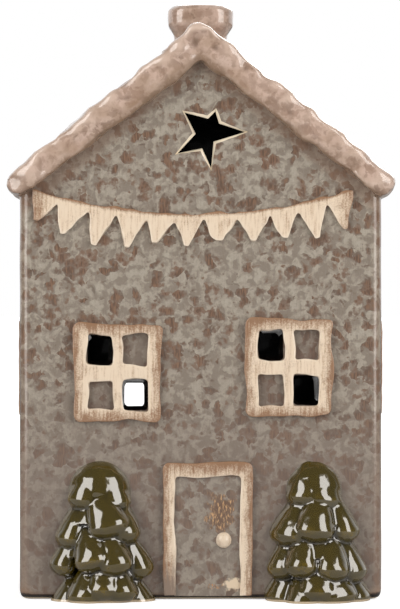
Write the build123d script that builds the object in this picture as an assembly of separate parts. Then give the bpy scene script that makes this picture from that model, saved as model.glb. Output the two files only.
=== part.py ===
from build123d import *

import os
from math import asin, atan2, ceil, cos, pi, radians, sin, sqrt, tan

# A glazed ceramic tealight house: a hollow gabled casting with relief pieces stuck on and a tealight inside.
# Millimetres, +Z up. The origin is the middle of the underside, where the house stands. The front faces -Y,
# and the tealight goes in and out through the opening in the back wall, along +Y.

# Walls: one hollow casting with a floor
WALL_WIDTH = 120.0
WALL_DEPTH = 84.0
WALL_THICKNESS = 5.0
FLOOR_THICKNESS = 5.0
CORNER_RADIUS = 3.5
FOOT_RADIUS = 2.5

# Roof deck, its ridge roll and its courses of round-ended tiles
ROOF_PITCH = 39.0
DECK_APEX_HEIGHT = 189.5
DECK_THICKNESS = 7.0
EAVE_OVERHANG = 5.0
EAVE_RADIUS = 2.4
GABLE_OVERHANG = 6.0
RIDGE_ROLL_RADIUS = 5.5
RIDGE_ROLL_RISE = 0.6
TILE_COURSES = 7
TILE_WIDTH = 12.0
TILE_GAP = 0.7
TILE_BUTT = 2.1
TILE_HEAD = 0.4
TILE_LAP = 7.0
TILE_SETBACK = 0.8

# Chimney: a shaft with a swollen cap and an open flue
CHIMNEY_WIDTH = 19.0
CHIMNEY_DEPTH = 15.0
CHIMNEY_CORNER = 3.0
CHIMNEY_RISE = 10.4
CAP_REACH = 2.0
CAP_HEIGHT = 7.0
CAP_ROUND = 2.0
FLUE_WIDTH = 10.0
FLUE_DEPTH = 8.0
FLUE_CORNER = 2.0

# Openings cut in the walls
BACK_OPENING_WIDTH = 62.0
BACK_OPENING_TOP = 72.0
BACK_OPENING_CORNER = 10.0
STAR_DROP = 26.6
STAR_OFFSET = 1.7
STAR_RADIUS = 11.5
STAR_TIPS = {2: 0.97, 67: 0.66, 136: 0.84, 214: 0.97, 279: 1.0}
STAR_WAISTS = {49: 0.44, 82: 0.43, 184: 0.29, 255: 0.43, 321: 0.31}

# Windows: a frame of four panes, of which two in a diagonal are cut through the wall
WINDOW_WIDTH = 30.0
WINDOW_HEIGHT = 33.4
WINDOW_CORNER = 2.4
WINDOW_RELIEF = 2.0
PANE_WIDTH = 7.9
PANE_HEIGHT = 9.7
PANE_CORNER = 0.9
GLAZING_BAR = 3.8
TRANSOM_BAR = 5.1
WINDOW_LEFT_MARGIN = 17.7
WINDOW_RIGHT_MARGIN = 15.9
WINDOW_LEFT_SHARE = 0.33
WINDOW_RIGHT_SHARE = 0.375
SIDE_WINDOW_HEIGHT = 76.0

# Door: a frame of two posts and a lintel, the leaf between them and its knob
DOOR_OFFSET = 2.4
DOOR_WIDTH = 29.7
DOOR_HEIGHT = 45.5
DOOR_SILL = 1.2
DOOR_POST = 4.4
DOOR_LINTEL = 5.0
DOOR_RELIEF = 2.0
LEAF_RELIEF = 0.8
KNOB_RADIUS = 2.8
KNOB_RISE = 2.4
KNOB_MARGIN = 2.4
KNOB_HEIGHT = 19.8

# The front edges of the stuck-on frames are rounded by this much
RELIEF_ROUND = 0.8

# Bunting: a sagging string of pennants under the eaves
BUNTING_LEFT_MARGIN = 4.7
BUNTING_RIGHT_MARGIN = 9.5
BUNTING_EAVE_GAP = 1.4
BUNTING_SAG = 7.0
BUNTING_RELIEF = 1.6
BUNTING_BAND = 3.0
PENNANTS = 11
PENNANT_DROP = 10.6
PENNANT_TIP = 2.4

# Trees: half-round firs of drooping boughs in tiers, from the ground up
TREE_HEIGHT = 46.0
TREE_SINK = 4.0
TRUNK_INSET = 6.5
SKIRT_INSET = 2.8
TREE_LEFT_GAP = 1.6
TREE_RIGHT_GAP = 3.7
BOUGH_RISE = 15.5
BOUGH_ROOT = 2.0
TIER_HEIGHTS = (-1.5, 8.0, 19.5, 31.0)
TIER_REACHES = (18.0, 18.6, 15.4, 12.0)
TIER_RADII = (5.0, 5.4, 5.2, 5.0)
BOUGH_COUNT = 5
TREE_TOP_RADIUS = 8.5

# Tealight: a metal cup of wax with a wick in a sustainer
CUP_DIAMETER = 38.0
CUP_HEIGHT = 16.0
CUP_WALL = 0.4
CUP_BEAD = 0.5
WAX_HEIGHT = 12.5
WAX_SHRINKAGE = 0.1
SUSTAINER_DIAMETER = 12.0
SUSTAINER_THICKNESS = 0.4
SUSTAINER_NECK_DIAMETER = 3.0
SUSTAINER_NECK_HEIGHT = 3.0
WICK_DIAMETER = 1.4
WICK_CLEARANCE = 0.05
WICK_STAND = 8.0

# Places worked out from the sizes
PITCH = radians(ROOF_PITCH)
HALF_WIDTH = WALL_WIDTH / 2
HALF_DEPTH = WALL_DEPTH / 2
ROOF_HALF_DEPTH = HALF_DEPTH + GABLE_OVERHANG
EAVE_REACH = HALF_WIDTH + EAVE_OVERHANG
SLOPE_LENGTH = EAVE_REACH / cos(PITCH)
TILE_EXPOSURE = (SLOPE_LENGTH - RIDGE_ROLL_RADIUS) / TILE_COURSES
RIDGE_TOP = DECK_APEX_HEIGHT + RIDGE_ROLL_RISE
CHIMNEY_TOP = RIDGE_TOP + CHIMNEY_RISE
DOOR_LEFT = DOOR_OFFSET - DOOR_WIDTH / 2
DOOR_RIGHT = DOOR_OFFSET + DOOR_WIDTH / 2
TREE_HALF_WIDTH = sqrt(max(TIER_REACHES) ** 2 - TREE_SINK**2)
TREE_LEFT_X = DOOR_LEFT - TREE_LEFT_GAP - TREE_HALF_WIDTH
TREE_RIGHT_X = DOOR_RIGHT + TREE_RIGHT_GAP + TREE_HALF_WIDTH
WINDOW_LEFT_X = -HALF_WIDTH + WINDOW_LEFT_MARGIN + WINDOW_WIDTH / 2
WINDOW_RIGHT_X = HALF_WIDTH - WINDOW_RIGHT_MARGIN - WINDOW_WIDTH / 2
FRONT = Plane.XZ.offset(HALF_DEPTH)
BACK = Plane.XZ.offset(-HALF_DEPTH)
RIGHT = Plane.YZ.offset(HALF_WIDTH)
LEFT = Plane(origin=(-HALF_WIDTH, 0, 0), x_dir=(0, -1, 0), z_dir=(-1, 0, 0))


def deck_outside(x):
    """Height of the deck's outer face at a distance x from the ridge."""
    return DECK_APEX_HEIGHT - abs(x) * tan(PITCH)


def deck_underside(x):
    """Height of the deck's underside at a distance x from the ridge."""
    return deck_outside(x) - DECK_THICKNESS / cos(PITCH)


BUNTING_LEFT = -HALF_WIDTH + BUNTING_LEFT_MARGIN
BUNTING_RIGHT = HALF_WIDTH - BUNTING_RIGHT_MARGIN
BUNTING_END_HEIGHT = deck_underside(max(-BUNTING_LEFT, BUNTING_RIGHT)) - BUNTING_EAVE_GAP


def gable_outline(half_width, height_at):
    """A house front from the ground up to a roof line."""
    eave = height_at(half_width)
    points = [(-half_width, 0), (half_width, 0), (half_width, eave), (0, height_at(0)), (-half_width, eave)]
    return make_face(Polyline(*points, close=True))


def polar(angle, radius):
    """A point at an angle in degrees and a distance from the origin."""
    return (radius * cos(radians(angle)), radius * sin(radians(angle)))


def rounded_front(piece, plane):
    """The piece with the edges of the face that is furthest out from the wall plane rounded."""
    front_face = piece.faces().sort_by(Axis((0, 0, 0), plane.z_dir))[-1]
    return fillet(front_face.edges(), RELIEF_ROUND)


# Windows


def pane_places():
    """The middles of the panes about the window's: upper left, upper right, lower left, lower right."""
    x = (GLAZING_BAR + PANE_WIDTH) / 2
    z = (TRANSOM_BAR + PANE_HEIGHT) / 2
    return [(-x, z), (x, z), (-x, -z), (x, -z)]


def panes(places):
    """The outlines of the panes at these places."""
    pane = RectangleRounded(PANE_WIDTH, PANE_HEIGHT, PANE_CORNER)
    return Sketch() + [Pos(*place) * pane for place in places]


def window_frame(plane, middle):
    """A window frame with its glazing bars, stuck on the wall face that the plane lies in."""
    outline = RectangleRounded(WINDOW_WIDTH, WINDOW_HEIGHT, WINDOW_CORNER) - panes(pane_places())
    frame = extrude(plane * Pos(*middle) * outline, WINDOW_RELIEF)
    return rounded_front(frame, plane)


def pane_cuts(plane, middle):
    """The cutters for the two open panes, through the wall behind the frame."""
    upper_left, _, _, lower_right = pane_places()
    return extrude(plane * Pos(*middle) * panes([upper_left, lower_right]), -WALL_THICKNESS)


def window_height(share):
    """The height of a front window's middle, by its share of the free height over the door and trees."""
    low = max(DOOR_HEIGHT, TREE_HEIGHT)
    high = BUNTING_END_HEIGHT - BUNTING_SAG - PENNANT_DROP
    return low + share * (high - low - WINDOW_HEIGHT) + WINDOW_HEIGHT / 2


WINDOW_PLACES = {
    "window_frame_left": (FRONT, (WINDOW_LEFT_X, window_height(WINDOW_LEFT_SHARE))),
    "window_frame_right": (FRONT, (WINDOW_RIGHT_X, window_height(WINDOW_RIGHT_SHARE))),
    "side_window_frame_left": (LEFT, (0, SIDE_WINDOW_HEIGHT)),
    "side_window_frame_right": (RIGHT, (0, SIDE_WINDOW_HEIGHT)),
}


# Walls


def star_cut():
    """The hand-cut star high in the front gable, tilted and a little uneven."""
    shares = STAR_TIPS | STAR_WAISTS
    points = [polar(angle, STAR_RADIUS * shares[angle]) for angle in sorted(shares)]
    middle = Pos(STAR_OFFSET, deck_underside(0) - STAR_DROP)
    return extrude(FRONT * middle * make_face(Polyline(*points, close=True)), -WALL_THICKNESS)


def back_opening():
    """The opening for the tealight: level with the floor, with round upper corners."""
    height = BACK_OPENING_TOP - FLOOR_THICKNESS
    outline = Pos(0, FLOOR_THICKNESS + height / 2) * Rectangle(BACK_OPENING_WIDTH, height)
    upper_corners = outline.vertices().group_by(Axis.Y)[-1]
    return extrude(BACK * fillet(upper_corners, BACK_OPENING_CORNER), WALL_THICKNESS)


def house_walls():
    """The hollow casting: four walls with gables on a floor, with every opening cut."""
    block = extrude(RectangleRounded(WALL_WIDTH, WALL_DEPTH, CORNER_RADIUS), deck_underside(0))
    block = fillet(block.faces().sort_by(Axis.Z)[0].edges(), FOOT_RADIUS)
    block &= extrude(FRONT * gable_outline(HALF_WIDTH, deck_underside), -WALL_DEPTH)
    inside = Rectangle(WALL_WIDTH - 2 * WALL_THICKNESS, WALL_DEPTH - 2 * WALL_THICKNESS)
    block -= Pos(0, 0, FLOOR_THICKNESS) * extrude(inside, deck_underside(0))
    block -= [pane_cuts(*place) for place in WINDOW_PLACES.values()]
    return block - star_cut() - back_opening()


# Roof


def ridge_roll():
    """The half-round roll along the ridge."""
    middle = Pos(0, RIDGE_TOP - RIDGE_ROLL_RADIUS)
    return extrude(Plane.XZ * middle * Circle(RIDGE_ROLL_RADIUS), ROOF_HALF_DEPTH, both=True)


def flue_outline():
    """The opening of the flue, seen from above."""
    return RectangleRounded(FLUE_WIDTH, FLUE_DEPTH, FLUE_CORNER)


def roof_deck():
    """The saddle of two slopes with round eaves and a ridge roll, pierced by the flue."""
    end = (-DECK_THICKNESS * sin(PITCH), -DECK_THICKNESS * cos(PITCH))
    eave = (EAVE_REACH, deck_outside(EAVE_REACH))
    under_eave = (eave[0] + end[0], eave[1] + end[1])
    right_half = [(0, DECK_APEX_HEIGHT), eave, under_eave, (0, deck_underside(0))]
    left_half = [(-x, z) for x, z in right_half[2:0:-1]]
    outline = make_face(Polyline(*right_half, *left_half, close=True))
    eave_corners = outline.vertices().sort_by(Axis.X)
    outline = fillet(eave_corners[:2] + eave_corners[-2:], EAVE_RADIUS)
    deck = extrude(Plane.XZ * outline, ROOF_HALF_DEPTH, both=True)
    below = extrude(Plane.XZ * gable_outline(EAVE_REACH, deck_underside), ROOF_HALF_DEPTH, both=True)
    deck += ridge_roll() - below
    return deck - extrude(flue_outline(), CHIMNEY_TOP)


def tile_course(slope, course):
    """One course of round-ended tiles on a slope plane, counted from the eave, every second one staggered."""
    butt = SLOPE_LENGTH - EAVE_RADIUS / 2 - course * TILE_EXPOSURE
    radius = (TILE_WIDTH - TILE_GAP) / 2
    head = butt - TILE_EXPOSURE - TILE_LAP
    shoulder = butt - radius
    half_depth = ROOF_HALF_DEPTH - TILE_SETBACK
    outline = Pos((head + shoulder) / 2, 0) * Rectangle(shoulder - head, 2 * half_depth)
    shift = TILE_WIDTH / 2 * (course % 2)
    across = ceil(half_depth / TILE_WIDTH) + 1
    for step in range(-across, across + 1):
        outline += Pos(shoulder, shift + step * TILE_WIDTH) * Circle(radius)
    outline &= Pos((head + butt) / 2, 0) * Rectangle(butt - head, 2 * half_depth)
    plate = extrude(slope * outline, TILE_BUTT)
    wedge = make_face(Polyline((head, 0), (butt, 0), (butt, TILE_BUTT), (head, TILE_HEAD), close=True))
    across_slope = Plane(origin=slope.origin, x_dir=slope.x_dir, z_dir=-slope.y_dir)
    return plate & extrude(across_slope * wedge, ROOF_HALF_DEPTH, both=True)


def roof_tiles(side):
    """All the courses of one slope, clear of the ridge roll and the chimney. Side is 1 or -1."""
    down = (side * cos(PITCH), 0, -sin(PITCH))
    slope = Plane(origin=(0, 0, DECK_APEX_HEIGHT), x_dir=down, z_dir=(side * sin(PITCH), 0, cos(PITCH)))
    courses = [tile_course(slope, course) for course in range(TILE_COURSES)]
    tiles = courses[0].fuse(*courses[1:])
    near_ridge = RIDGE_ROLL_RADIUS / 2 - EAVE_REACH / 2
    far_side = Pos(side * near_ridge, 0, DECK_APEX_HEIGHT) * Box(EAVE_REACH, 2 * WALL_DEPTH, DECK_APEX_HEIGHT)
    footprint = extrude(RectangleRounded(CHIMNEY_WIDTH, CHIMNEY_DEPTH, CHIMNEY_CORNER), CHIMNEY_TOP)
    return tiles - far_side - ridge_roll() - footprint


def chimney():
    """The shaft and cap, saddled on the ridge, with the flue open from end to end."""
    shaft = extrude(RectangleRounded(CHIMNEY_WIDTH, CHIMNEY_DEPTH, CHIMNEY_CORNER), CHIMNEY_TOP)
    cap_width = CHIMNEY_WIDTH + 2 * CAP_REACH
    cap_depth = CHIMNEY_DEPTH + 2 * CAP_REACH
    cap = extrude(RectangleRounded(cap_width, cap_depth, CHIMNEY_CORNER + CAP_REACH), CAP_HEIGHT)
    cap = fillet(cap.edges().filter_by(Plane.XY), CAP_ROUND)
    stack = shaft + Pos(0, 0, CHIMNEY_TOP - CAP_HEIGHT) * cap
    below = extrude(Plane.XZ * gable_outline(EAVE_REACH, deck_outside), ROOF_HALF_DEPTH, both=True)
    return stack - below - ridge_roll() - extrude(flue_outline(), CHIMNEY_TOP)


# Relief on the front wall


def bunting():
    """One strip of pennants along a sagging arc, with sharp valleys and blunt tips."""
    middle = (BUNTING_LEFT + BUNTING_RIGHT) / 2
    half_span = (BUNTING_RIGHT - BUNTING_LEFT) / 2
    lowest = BUNTING_END_HEIGHT - BUNTING_SAG
    arc_radius = (half_span**2 + BUNTING_SAG**2) / (2 * BUNTING_SAG)
    arc_middle = lowest + arc_radius

    def string_height(x):
        return arc_middle - sqrt(arc_radius**2 - (x - middle) ** 2)

    pitch = 2 * half_span / PENNANTS
    lower_edge = [(BUNTING_LEFT, BUNTING_END_HEIGHT - BUNTING_BAND)]
    for pennant in range(PENNANTS):
        tip = BUNTING_LEFT + (pennant + 0.5) * pitch
        tip_height = string_height(tip) - PENNANT_DROP
        valley = BUNTING_LEFT + (pennant + 1) * pitch
        lower_edge += [(tip - PENNANT_TIP / 2, tip_height), (tip + PENNANT_TIP / 2, tip_height)]
        lower_edge += [(valley, string_height(valley) - BUNTING_BAND)]
    left_end = (BUNTING_LEFT, BUNTING_END_HEIGHT)
    right_end = (BUNTING_RIGHT, BUNTING_END_HEIGHT)
    string = ThreePointArc(left_end, (middle, lowest), right_end)
    ends = [Line(left_end, lower_edge[0]), Line(right_end, lower_edge[-1])]
    outline = make_face([string, *ends, Polyline(*lower_edge)])
    return extrude(FRONT * outline, BUNTING_RELIEF)


def leaf_outline():
    """The doorway between the posts and under the lintel."""
    height = DOOR_HEIGHT - DOOR_SILL - DOOR_LINTEL
    return Pos(DOOR_OFFSET, DOOR_SILL + height / 2) * Rectangle(DOOR_WIDTH - 2 * DOOR_POST, height)


def door_frame():
    """Two posts and a lintel."""
    height = DOOR_HEIGHT - DOOR_SILL
    outer = Pos(DOOR_OFFSET, DOOR_SILL + height / 2) * Rectangle(DOOR_WIDTH, height)
    return rounded_front(extrude(FRONT * (outer - leaf_outline()), DOOR_RELIEF), FRONT)


def door_leaf():
    """The thin panel that fills the doorway."""
    return extrude(FRONT * leaf_outline(), LEAF_RELIEF)


def door_knob():
    """A domed button on the leaf, near the right post."""
    arc_radius = (KNOB_RADIUS**2 + KNOB_RISE**2) / (2 * KNOB_RISE)
    middle = KNOB_RISE - arc_radius
    shoulder = atan2(-middle, KNOB_RADIUS)
    halfway = (shoulder + pi / 2) / 2
    dome = ThreePointArc(
        (KNOB_RADIUS, 0),
        (arc_radius * cos(halfway), middle + arc_radius * sin(halfway)),
        (0, KNOB_RISE),
    )
    profile = make_face([dome, Line((0, KNOB_RISE), (0, 0)), Line((0, 0), (KNOB_RADIUS, 0))])
    knob_x = DOOR_RIGHT - DOOR_POST - KNOB_MARGIN - KNOB_RADIUS
    seat = Plane(FRONT.offset(LEAF_RELIEF).from_local_coords((knob_x, KNOB_HEIGHT, 0)), z_dir=FRONT.z_dir)
    return seat * revolve(Plane.XZ * profile, Axis.Z)


def bough(root, end, radius):
    """A drooping bough: a cone that swells from its root into a ball at its end."""
    along = Vector(*end) - Vector(*root)
    length = along.length
    swell = asin(radius / length)
    tangent = (radius * cos(swell), length - radius * sin(swell))
    bulge = (pi / 2 - swell) / 2
    ball = ThreePointArc(
        tangent,
        (radius * cos(bulge), length + radius * sin(bulge)),
        (0, length + radius),
    )
    profile = make_face([Line((0, 0), tangent), ball, Line((0, length + radius), (0, 0))])
    return Plane(origin=root, z_dir=along) * revolve(Plane.XZ * profile, Axis.Z)


def tree_tier(low, reach, radius, count, turn):
    """A skirt with boughs hanging round its rim. Turn is where they start, as a share of their step."""
    hang = low + radius
    rise = min(BOUGH_RISE, TREE_HEIGHT - BOUGH_ROOT - hang)
    skirt = Pos(0, 0, hang + rise / 2) * Cone(reach - SKIRT_INSET, TREE_SINK, rise)
    ring = []
    for place in range(count):
        angle = 180 + 180 / count * (place + turn)
        root = (*polar(angle, BOUGH_ROOT), hang + rise - BOUGH_ROOT)
        ring.append(bough(root, (*polar(angle, reach - radius), hang), radius))
    return [skirt, *ring]


def tree(x, turn):
    """A half-round fir against the front wall, standing on the ground."""
    crown = TREE_HEIGHT - sqrt(TREE_TOP_RADIUS**2 - TREE_SINK**2)
    trunk = Pos(0, 0, crown / 2) * Cone(TIER_REACHES[0] - TRUNK_INSET, TREE_SINK, crown)
    boughs = [Pos(0, 0, crown) * Sphere(TREE_TOP_RADIUS)]
    for tier, (low, reach, radius) in enumerate(zip(TIER_HEIGHTS, TIER_REACHES, TIER_RADII)):
        boughs += tree_tier(low, reach, radius, BOUGH_COUNT - tier, turn)
    size = 2 * TREE_HEIGHT
    in_front = Pos(0, -TREE_SINK - size / 2, size / 2) * Box(size, size, size)
    return Pos(x, -HALF_DEPTH + TREE_SINK, 0) * (trunk.fuse(*boughs) & in_front)


# Tealight


def standing_profile(points):
    """A solid turned about the upright axis from points given as radius and height above the floor."""
    return Pos(0, 0, FLOOR_THICKNESS) * revolve(Plane.XZ * make_face(Polyline(*points, close=True)), Axis.Z)


def tealight_cup():
    """The drawn metal cup with a bead round its rim."""
    outside = CUP_DIAMETER / 2 - CUP_BEAD
    inside = outside - CUP_WALL
    bead_middle = CUP_HEIGHT - CUP_BEAD
    outer_side = [(0, 0), (outside, 0), (outside, bead_middle)]
    inner_side = [(inside, bead_middle), (inside, CUP_WALL), (0, CUP_WALL)]
    bead = Pos(0, 0, FLOOR_THICKNESS + bead_middle) * Torus(outside, CUP_BEAD)
    return standing_profile(outer_side + inner_side) + bead


def wick_sustainer():
    """The disc with a neck that holds the wick upright on the cup's bottom."""
    bore = WICK_DIAMETER / 2 + WICK_CLEARANCE
    neck = SUSTAINER_NECK_DIAMETER / 2
    disc = SUSTAINER_DIAMETER / 2
    low = CUP_WALL
    step = CUP_WALL + SUSTAINER_THICKNESS
    high = step + SUSTAINER_NECK_HEIGHT
    outer_side = [(disc, low), (disc, step), (neck, step), (neck, high)]
    return standing_profile([(bore, low), *outer_side, (bore, high)])


def tealight_wick():
    """The straight wick, from the cup's bottom to above the wax, with a blunt point."""
    radius = WICK_DIAMETER / 2
    top = CUP_WALL + WAX_HEIGHT + WICK_STAND
    side = [(radius, CUP_WALL), (radius, top - radius), (radius / 2, top)]
    return standing_profile([(0, CUP_WALL), *side, (0, top)])


def tealight_wax():
    """The poured wax, shrunk a little from the cup, round the sustainer and the wick."""
    radius = CUP_DIAMETER / 2 - CUP_BEAD - CUP_WALL - WAX_SHRINKAGE
    disc = SUSTAINER_DIAMETER / 2
    neck = SUSTAINER_NECK_DIAMETER / 2
    bore = WICK_DIAMETER / 2 + WICK_CLEARANCE
    low = CUP_WALL
    step = CUP_WALL + SUSTAINER_THICKNESS
    neck_top = step + SUSTAINER_NECK_HEIGHT
    high = CUP_WALL + WAX_HEIGHT
    hollow = [(bore, neck_top), (neck, neck_top), (neck, step), (disc, step), (disc, low)]
    return standing_profile([(bore, high), *hollow, (radius, low), (radius, high)])


# Every piece, by the name of its node

pieces = {
    "house_walls": house_walls(),
    "roof_deck": roof_deck(),
    "roof_tiles_left": roof_tiles(-1),
    "roof_tiles_right": roof_tiles(1),
    "chimney": chimney(),
    "bunting": bunting(),
    "door_frame": door_frame(),
    "door_leaf": door_leaf(),
    "door_knob": door_knob(),
    "tree_left": tree(TREE_LEFT_X, 0.5),
    "tree_right": tree(TREE_RIGHT_X, 0.35),
    "tealight_cup": tealight_cup(),
    "tealight_wax": tealight_wax(),
    "tealight_wick": tealight_wick(),
    "wick_sustainer": wick_sustainer(),
}
for node, place in WINDOW_PLACES.items():
    pieces[node] = window_frame(*place)

os.makedirs("parts", exist_ok=True)
for node, piece in pieces.items():
    export_step(piece, f"parts/{node}.step")
    print(node, "volume", round(piece.volume, 1), "solids", len(piece.solids()), "faces", len(piece.faces()))
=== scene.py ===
# %% [markdown]
# # A glazed tealight house
# The house is cast in earthenware and glazed by hand: mottled grey on the walls, taupe on the roof, cream
# on the raised trim and a thick bottle green on the firs. A tealight slides in through the opening in the
# back. The solids fix every size and place. This lesson puts a fired, glazed skin on them.

# %% Load the solids as a fixed frame
import math

import bpy
import numpy as np
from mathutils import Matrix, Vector


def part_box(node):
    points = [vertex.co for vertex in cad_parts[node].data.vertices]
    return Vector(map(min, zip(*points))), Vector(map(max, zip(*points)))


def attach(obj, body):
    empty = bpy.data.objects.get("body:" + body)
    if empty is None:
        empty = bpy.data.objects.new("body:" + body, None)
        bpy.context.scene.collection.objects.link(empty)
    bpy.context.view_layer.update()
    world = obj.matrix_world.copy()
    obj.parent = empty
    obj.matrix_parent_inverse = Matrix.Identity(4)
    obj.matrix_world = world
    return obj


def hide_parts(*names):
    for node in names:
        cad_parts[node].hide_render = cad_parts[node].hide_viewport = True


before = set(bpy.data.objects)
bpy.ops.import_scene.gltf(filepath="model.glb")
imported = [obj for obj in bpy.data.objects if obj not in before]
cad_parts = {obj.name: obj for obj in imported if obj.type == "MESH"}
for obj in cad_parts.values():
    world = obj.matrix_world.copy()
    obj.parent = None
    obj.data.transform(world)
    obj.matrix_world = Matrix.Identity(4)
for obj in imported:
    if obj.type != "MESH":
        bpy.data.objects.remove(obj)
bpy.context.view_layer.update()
MM = 0.001
QUARTER = math.pi / 2
print("solids:", len(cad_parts))

# %% [markdown]
# ## Tools for clay
# A potter rolls strips, presses them on and lets the glaze round every edge. Three tools do that here:
# blocks to build with, a voxel remesh that joins them into one skin, and smoothing that lets the edges
# slump. A bevel would round each edge alike, but it can't run one piece of clay into the next.

# %% Select, apply and join
def pick(*pieces):
    """Select these pieces alone. The last one is the active one."""
    bpy.ops.object.select_all(action="DESELECT")
    for piece in pieces:
        piece.select_set(True)
    bpy.context.view_layer.objects.active = pieces[-1]
    return pieces[-1]


def work(piece, kind, **settings):
    """Give a piece one modifier and apply it."""
    pick(piece)
    modifier = piece.modifiers.new(kind.title(), kind)
    for setting, value in settings.items():
        setattr(modifier, setting, value)
    bpy.ops.object.modifier_apply(modifier=modifier.name)


def join(name, pieces):
    """Join pieces into one and name it."""
    whole = pick(*pieces)
    if len(pieces) > 1:
        bpy.ops.object.join()
    whole.name = name
    whole.data.name = name
    return whole


def settle(piece):
    """Move a piece's place, turn and scale into its mesh."""
    pick(piece)
    bpy.ops.object.transform_apply(location=True, rotation=True, scale=True)
    return piece


def put(name, data):
    """A new object in the scene."""
    thing = bpy.data.objects.new(name, data)
    bpy.context.scene.collection.objects.link(thing)
    return thing


# %% Edit vertices
def let_go():
    """Leave edit mode."""
    bpy.ops.object.mode_set(mode="OBJECT")


def grab(piece, wanted=lambda spot: True):
    """Enter edit mode with the vertices selected whose place is wanted, or else all of them."""
    if bpy.context.mode != "OBJECT":
        let_go()
    pick(piece)
    mesh = piece.data
    mesh.polygons.foreach_set("select", [False] * len(mesh.polygons))
    mesh.edges.foreach_set("select", [False] * len(mesh.edges))
    mesh.vertices.foreach_set("select", [wanted(vertex.co) for vertex in mesh.vertices])
    bpy.ops.object.mode_set(mode="EDIT")


def extrude(x, y, z):
    """Draw the selected faces out by this much."""
    bpy.ops.mesh.extrude_region_move(TRANSFORM_OT_translate={"value": (x, y, z)})


def slice_off(place, way, near):
    """Cut away what lies beyond a plane and close the cut. Vertices this near count as on the plane."""
    bpy.ops.mesh.select_all(action="SELECT")
    bpy.ops.mesh.bisect(plane_co=place, plane_no=way, use_fill=True, clear_outer=True, threshold=near)


def face_out(piece):
    """Turn all faces of a piece outwards."""
    grab(piece)
    bpy.ops.mesh.normals_make_consistent(inside=False)
    let_go()


# %% Blocks and casts
NEAR = 0.1 * MM
EXACT = 0.001 * MM


def start(primitive, **settings):
    """A primitive to model from."""
    bpy.ops.object.select_all(action="DESELECT")
    primitive(**settings)
    return bpy.context.object


def block(corner, opposite):
    """A block of clay between two opposite corners."""
    corner = Vector(corner)
    opposite = Vector(opposite)
    piece = start(bpy.ops.mesh.primitive_cube_add, size=1, location=(corner + opposite) / 2)
    piece.scale = [abs(side) for side in opposite - corner]
    return settle(piece)


def cast_from(name, *nodes):
    """A new piece with the shape of these solids. Their loose triangles are merged first."""
    whole = join(name, [put(node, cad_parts[node].data.copy()) for node in nodes])
    grab(whole)
    bpy.ops.mesh.remove_doubles(threshold=EXACT)
    let_go()
    whole.data.materials.clear()
    return whole


# %% Let edges slump and surfaces ripple
def soften(piece, grain, rounds):
    """Close a piece into one even skin and let its edges slump."""
    work(piece, "REMESH", mode="VOXEL", voxel_size=grain, use_smooth_shade=True)
    slump(piece, rounds)


def slump(piece, rounds, group=""):
    """Smooth a piece, or one group of its vertices."""
    work(piece, "SMOOTH", factor=0.5, iterations=rounds, vertex_group=group)


def swell(piece, size, detail, **settings):
    """Push a skin to and fro with a cloudy texture."""
    texture = bpy.data.textures.new(piece.name, "CLOUDS")
    texture.noise_scale = size
    texture.noise_depth = detail
    work(piece, "DISPLACE", texture=texture, **settings)


def ripple(piece, size, depth, group="", level=1.0):
    """Press shallow hollows into a skin. At level 1 it only goes inwards, so it stays in its solid's box."""
    swell(piece, size, 1, texture_coords="LOCAL", mid_level=level, strength=depth, vertex_group=group)


def sway(piece, size, reach, seed):
    """Push a piece unevenly along its wall, as a strip of clay bends when it is pressed on."""
    piece.location.x = seed * 40 * MM
    for axis, share in (("X", 1.0), ("Z", 0.8)):
        swell(piece, size * share, 0, texture_coords="GLOBAL", direction=axis, mid_level=0.5, strength=reach)
    piece.location.x = 0


# %% Measure a skin
def places(piece, kind="co"):
    """The vertices' places, or their normals, as rows of x, y, z."""
    spots = np.empty(len(piece.data.vertices) * 3)
    piece.data.vertices.foreach_get(kind, spots)
    return spots.reshape(-1, 3)


def spread(mesh, values, rounds):
    """Average values over neighbouring vertices a number of times."""
    ends = np.empty(len(mesh.edges) * 2, int)
    mesh.edges.foreach_get("vertices", ends)
    tails = np.concatenate([ends[0::2], ends[1::2]])
    heads = np.concatenate([ends[1::2], ends[0::2]])
    count = len(mesh.vertices)
    shares = np.bincount(tails, minlength=count).clip(1)
    for _ in range(rounds):
        columns = [np.bincount(tails, column[heads], count) / shares for column in values.T]
        values = np.stack(columns, axis=1)
    return values


def store(piece, title, values):
    """Keep one number for each vertex, for the glazes to read."""
    note = piece.data.attributes.new(title, "FLOAT", "POINT")
    note.data.foreach_set("value", np.asarray(values, np.float32))


def note_edges(piece, rounds, depth):
    """Store how far each vertex stands out of its surroundings: above 0 on edges, below 0 in hollows."""
    spots = places(piece)
    bulge = ((spots - spread(piece.data, spots, rounds)) * places(piece, "normal")).sum(axis=1)
    store(piece, "edge", bulge / depth)


def tell(piece):
    """Print what was made."""
    size = [round(side / MM, 1) for side in piece.dimensions]
    print(piece.name, "is", size, "mm with", len(piece.data.polygons), "faces")


# %% [markdown]
# ## Tools for glaze
# A glaze is a thin glass. Its colour comes from what it does on the clay: it breaks pale or brown where it
# runs off an edge, pools dark in a hollow, and mottles where two glazes boil through each other. Each
# effect is a node group that gives masks, and each glaze mixes its own colours with them.

# %% Place and link nodes
def feed(tree, sockets, values):
    """Give sockets their values. Another node's output is linked, anything else is set."""
    for name, value in values.items():
        if isinstance(value, bpy.types.NodeSocket):
            tree.links.new(value, sockets[name])
        else:
            sockets[name].default_value = value


def add(tree, kind, values=None, **settings):
    """Place a node and feed it."""
    node = tree.nodes.new("ShaderNode" + kind)
    for setting, value in settings.items():
        setattr(node, setting, value)
    feed(tree, node.inputs, values or {})
    return node


def calc(tree, operation, *terms):
    """One step of arithmetic."""
    return add(tree, "Math", dict(enumerate(terms)), operation=operation).outputs[0]


def shift(tree, operation, place, change):
    """One step of arithmetic with places."""
    return add(tree, "VectorMath", {0: place, 1: change}, operation=operation).outputs[0]


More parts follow.
